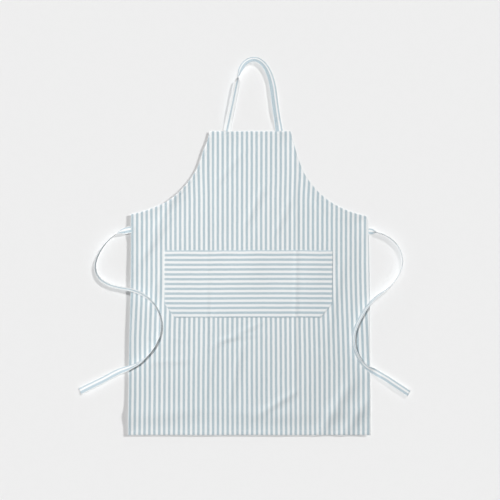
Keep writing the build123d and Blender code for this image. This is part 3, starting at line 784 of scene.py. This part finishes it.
# =====================================================================================================
# stitches
# =====================================================================================================
def stitch_mesh(name, rows, node, width=0.62, height=0.36):
    """Separate stitches along rows of (points, normals, pitch, length)."""
    verts, faces, cloth = [], [], []
    ring = 6
    prof = [(-0.5, 0.0), (-0.42, 0.62), (-0.2, 1.0), (0.2, 1.0), (0.42, 0.62), (0.5, 0.0)]
    for pts, nrm, pitch, length in rows:
        s = arc(pts)
        n = int((s[-1] - length) / pitch) + 1
        start = (s[-1] - (n - 1) * pitch) / 2
        for k in range(n):
            c = start + k * pitch
            base = len(verts)
            for along, _ in prof:
                q = c + along * length
                p = np.array([np.interp(q, s, pts[:, i]) for i in range(3)])
                nn = np.array([np.interp(q, s, nrm[:, i]) for i in range(3)])
                nn /= np.linalg.norm(nn)
                p2 = np.array([np.interp(q + 0.5, s, pts[:, i]) for i in range(3)])
                p1 = np.array([np.interp(q - 0.5, s, pts[:, i]) for i in range(3)])
                tt = p2 - p1
                tt /= max(np.linalg.norm(tt), 1e-9)
                side = np.cross(nn, tt)
                bow = height * (0.42 - 0.9 * (2 * along) ** 2 * 0.6)
                f = dict(prof)[along]
                if f == 0.0:
                    verts.append(p + nn * (bow - 0.06))
                    cloth.append((q, 0.0, 0.0))
                else:
                    for r in range(ring):
                        ang = 2 * math.pi * r / ring
                        verts.append(p + nn * (bow + math.sin(ang) * height / 2 * f) + side * (math.cos(ang) * width / 2 * f))
                        cloth.append((q, width * r / ring * 3.1, 0.0))
            first, last = base, len(verts) - 1
            r0 = base + 1
            for r in range(ring):
                r2 = (r + 1) % ring
                faces.append((first, r0 + r2, r0 + r))
                for lvl in range(3):
                    a = r0 + lvl * ring
                    faces.append((a + r, a + r2, a + ring + r2, a + ring + r))
                a = r0 + 3 * ring
                faces.append((last, a + r, a + r2))
    ob = make_mesh(name, np.array(verts), faces, np.array(cloth), sewing_thread)
    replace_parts(ob, node)
    return ob


def on_cloth(xy, height, lift=CLOTH_T / 2):
    """Points and normals on a cloth's top face above these plan points."""
    xy = np.asarray(xy, float)
    e = 0.8
    z = height(xy[:, 0], xy[:, 1])
    gx = (height(xy[:, 0] + e, xy[:, 1]) - height(xy[:, 0] - e, xy[:, 1])) / (2 * e)
    gy = (height(xy[:, 0], xy[:, 1] + e) - height(xy[:, 0], xy[:, 1] - e)) / (2 * e)
    nrm = np.column_stack([-gx, -gy, np.ones(len(xy))])
    nrm /= np.linalg.norm(nrm, axis=1, keepdims=True)
    return np.column_stack([xy, z]) + nrm * lift, nrm


def row_on(xy, height, lift=CLOTH_T / 2, pitch=3.2, length=2.5):
    p, n = on_cloth(xy, height, lift)
    return (p, n, pitch, length)


def line(points, step=3.0):
    out = []
    for a, b in zip(points[:-1], points[1:]):
        a, b = np.array(a, float), np.array(b, float)
        n = max(1, int(round(np.linalg.norm(b - a) / step)))
        out += [a + (b - a) * k / n for k in range(n)]
    return np.array(out + [np.array(points[-1], float)])


hem_lift = CLOTH_T / 2 - 0.13
by_side = {k: panel_hem[panel_side == k] for k in range(6)}
FOLD = 181.0
thread_objects = {}


def thread(node, rows, body=None, blend=None, **kw):
    ob = stitch_mesh(node + "_stitches", rows, node, **kw)
    if blend:
        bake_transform(ob)
    else:
        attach(ob, body)
    thread_objects[node] = ob
    return ob


thread("thread_bib_top_hem", [row_on(by_side[0][2:-1], relief, hem_lift)], body="bib")
PANEL_BLEND = (("skirt", "bib"), dict(start=(0.0, 0.180, 0.0), end=(0.0, 0.206, 0.0)))
arm_l, arm_r = by_side[5], by_side[1]
thread("thread_armhole_hem_left", [row_on(arm_l[2:-2], relief, hem_lift)], blend=PANEL_BLEND)
thread("thread_armhole_hem_right", [row_on(arm_r[2:-2], relief, hem_lift)], blend=PANEL_BLEND)
thread("thread_side_hem_left", [row_on(by_side[4][2:-1], relief, hem_lift)], blend=PANEL_BLEND)
thread("thread_side_hem_right", [row_on(by_side[2][2:-1], relief, hem_lift)], blend=PANEL_BLEND)
thread("thread_bottom_hem", [row_on(by_side[3][3:-1], relief, hem_lift)], body="skirt")
mouth_row = line([(-243.0, 86.3), (232.0, 86.3)])
thread("thread_pocket_mouth_hem", [row_on(mouth_row, pocket_height, CLOTH_T / 2)], body="skirt")
inset = pocket_outer + (pocket_hem - pocket_outer) * (POCKET_SEAM / 9.0)
keep = pocket_side != 0
edge_row = inset[keep]
thread("thread_pocket_edge", [row_on(edge_row, pocket_height, CLOTH_T / 2 - 0.10)], body="skirt")


def box_rows(x, y, w, l):
    c = [(x - w / 2, y - l / 2), (x + w / 2, y - l / 2), (x + w / 2, y + l / 2), (x - w / 2, y + l / 2), (x - w / 2, y - l / 2)]
    rows = [row_on(line([a, b], 1.5), relief, CLOTH_T / 2 + 0.02, 2.4, 2.0) for a, b in zip(c[:-1], c[1:])]
    rows.append(row_on(line([c[0], c[2]], 1.5), relief, CLOTH_T / 2 + 0.02, 2.4, 2.0))
    return rows


thread("thread_strap_root_left", box_rows(-71.5, 436.5, 17.0, 7.5), body="bib")
thread("thread_strap_root_right", box_rows(84.5, 436.5, 17.0, 7.5), body="bib")
thread("thread_tie_root_left", box_rows(-339.1, 155.5, 3.2, 15.0), body="skirt")
thread("thread_tie_root_right", box_rows(337.1, 150.5, 3.2, 15.0), body="skirt")


def tape_rows(path, fr, width, first=0.0, last=0.0):
    """One row of stitches along each face of a tape, 2 mm in from its sewn edge."""
    t, w, b = fr
    s = arc(path)
    m = (s >= first) & (s <= s[-1] - last)
    rows = []
    for sg in (1.0, -1.0):
        p = path + w * (-(width / 2 - 2.2)) + b * sg * (TAPE_T / 2 + 0.0)
        rows.append((p[m], (b * sg)[m], 3.2, 2.4))
    return rows


def bar_tack(path, fr, x, y, across, sg):
    """A short dense tack of thread across the tape's face, beside the point (x, y)."""
    t, w, b = fr
    i = int(np.argmin((path[:, 0] - x) ** 2 + (path[:, 1] - y) ** 2))
    c = path[i] + b[i] * sg * (TAPE_T / 2 + 0.05)
    rows = []
    for k in range(11):
        off = t[i] * (k - 5) * 0.82 + w[i] * across
        pts = np.array([c + off - w[i] * 2.1, c + off, c + off + w[i] * 2.1])
        rows.append((pts, np.array([b[i] * sg] * 3), 4.6, 4.0))
    return rows


strap_rows = tape_rows(strap_path, strap_fr, STRAP_W, 3.0, 3.0)
strap_rows += bar_tack(strap_path, strap_fr, 76.0, 485.0, 4.2, -1.0) + bar_tack(strap_path, strap_fr, 80.0, 463.5, 4.2, -1.0)
th_strap = thread("thread_neck_strap_edge", strap_rows, blend=(("bib", "neck_loop"), STRAP_BLEND))
th_left = thread("thread_waist_tie_edge_left", tape_rows(left_path, left_fr, TIE_W, 3.0, 3.0), blend=(("skirt", "tie_left"), TIE_L_BLEND))
th_right = thread("thread_waist_tie_edge_right", tape_rows(right_path, right_fr, TIE_W, 3.0, 3.0), blend=(("skirt", "tie_right"), TIE_R_BLEND))

# =====================================================================================================
# lengths of the three tapes, printed
# =====================================================================================================
print("tape lengths", [round(float(arc(p)[-1]), 1) for p in (strap_path, left_path, right_path)])

# =====================================================================================================
# floor and light
# =====================================================================================================
fm = Nodes("floor")
geo = fm.tree.nodes.new("ShaderNodeNewGeometry")
grain = fm.noise(geo.outputs["Position"], 40.0, 2.0)
fm.link(fm.mix(grain, (0.795, 0.795, 0.795), (0.805, 0.805, 0.805)), fm.bsdf.inputs["Base Color"])
fm.link(fm.math("ADD", 0.90, fm.math("MULTIPLY", grain, 0.06)), fm.bsdf.inputs["Roughness"])
fm.bsdf.inputs["Specular IOR Level"].default_value = 0.0
fme = bpy.data.meshes.new("floor")
fme.from_pydata([(-60, -60, -0.0002), (60, -60, -0.0002), (60, 60, -0.0002), (-60, 60, -0.0002)], [], [(0, 1, 2, 3)])
fme.materials.append(fm.mat)
floor = bpy.data.objects.new("floor", fme)
scene.collection.objects.link(floor)

world = bpy.data.worlds.new("studio")
scene.world = world
world.use_nodes = True
bg = world.node_tree.nodes["Background"]
# a dim room whose walls are pale low down, like a studio's curved backdrop
sky = world.node_tree.nodes.new("ShaderNodeTexCoord")
sky_xyz = world.node_tree.nodes.new("ShaderNodeSeparateXYZ")
sky_mix = world.node_tree.nodes.new("ShaderNodeMapRange")
sky_mix.interpolation_type = "SMOOTHSTEP"
world.node_tree.links.new(sky.outputs["Generated"], sky_xyz.inputs[0])
world.node_tree.links.new(sky_xyz.outputs[2], sky_mix.inputs["Value"])
sky_mix.inputs["From Min"].default_value = 0.13
sky_mix.inputs["From Max"].default_value = 0.40
sky_mix.inputs["To Min"].default_value = 0.82
sky_mix.inputs["To Max"].default_value = 0.04
world.node_tree.links.new(sky_mix.outputs[0], bg.inputs[0])
bg.inputs[1].default_value = 1.0

cloth_things = [o for o in scene.objects if o.type == "MESH" and "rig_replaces" in o]
tapes = [strap, tie_l, tie_r, th_strap, th_left, th_right]
panels = [o for o in cloth_things if o not in tapes]


def group(name, objects):
    c = bpy.data.collections.new(name)
    for o in objects:
        c.objects.link(o)
    return c


def sun(name, azimuth, elevation, strength, angle, receivers=None, blockers=None):
    """A soft distant studio light that shines from that azimuth (0 is +X, 90 is +Y) and elevation."""
    data = bpy.data.lights.new(name, "SUN")
    data.energy = strength
    data.angle = math.radians(angle)
    ob = bpy.data.objects.new(name, data)
    scene.collection.objects.link(ob)
    a, e = math.radians(azimuth), math.radians(elevation)
    d = np.array([math.cos(e) * math.cos(a), math.cos(e) * math.sin(a), math.sin(e)])
    ob.location = (d * 3.0).tolist()
    ob.rotation_euler = (math.pi / 2 - e, 0.0, a + math.pi / 2)
    if receivers is not None:
        ob.light_linking.receiver_collection = receivers
    if blockers is not None:
        ob.light_linking.blocker_collection = blockers
    return ob


def area(name, place, size, power, receivers):
    """A round lamp at that place, turned to the middle of the apron."""
    data = bpy.data.lights.new(name, "AREA")
    data.shape = "DISK"
    data.size = size
    data.energy = power
    ob = bpy.data.objects.new(name, data)
    scene.collection.objects.link(ob)
    ob.location = place
    ob.rotation_euler = (-Vector(place)).to_track_quat("-Z", "Y").to_euler()
    ob.light_linking.receiver_collection = receivers
    return ob


on_floor = group("light_on_floor", [floor])
on_cloth_things = group("light_on_cloth", cloth_things)
on_panels = group("light_on_panels", panels)
on_tapes = group("light_on_tapes", tapes)
from_panels = group("shade_from_panels", panels)
from_tapes = group("shade_from_tapes", [strap, tie_l, th_strap, th_left])
from_right_tie = group("shade_from_right_tie", [tie_r, th_right])

# key from the upper left, high: the short crisp shade on the right of every raised edge
area("key_cloth", (-0.76, 0.50, 2.6), 0.08, 53.6, on_cloth_things)
# a lower light from the same side for the creases of the panel and pocket; it doesn't see the tapes
sun("rake", 132.0, 20.0, 1.30, 3.0, receivers=on_panels, blockers=from_panels)
# low light from the right on the floor: the narrow grey shade along the left of the cloth, and the same along the tapes
sun("low_right_panels", 22.0, 13.5, 5.35, 4.0, receivers=on_floor, blockers=from_panels)
sun("low_right_tapes", 40.0, 53.0, 1.42, 4.0, receivers=on_floor, blockers=from_tapes)
sun("high_right_tie", 68.0, 50.0, 0.90, 4.0, receivers=on_floor, blockers=from_right_tie)
# the same light on the cloth itself, from high up so that it doesn't flatten the creases
area("top", (0.1, 0.75, 3.2), 0.9, 18.5, on_cloth_things)
sun("tapes_from_above", 100.0, 68.0, 0.70, 20.0, receivers=on_tapes)

scene.view_settings.view_transform = "Standard"
scene.view_settings.look = "None"
scene.view_settings.exposure = 0.0
scene.view_settings.gamma = 1.0
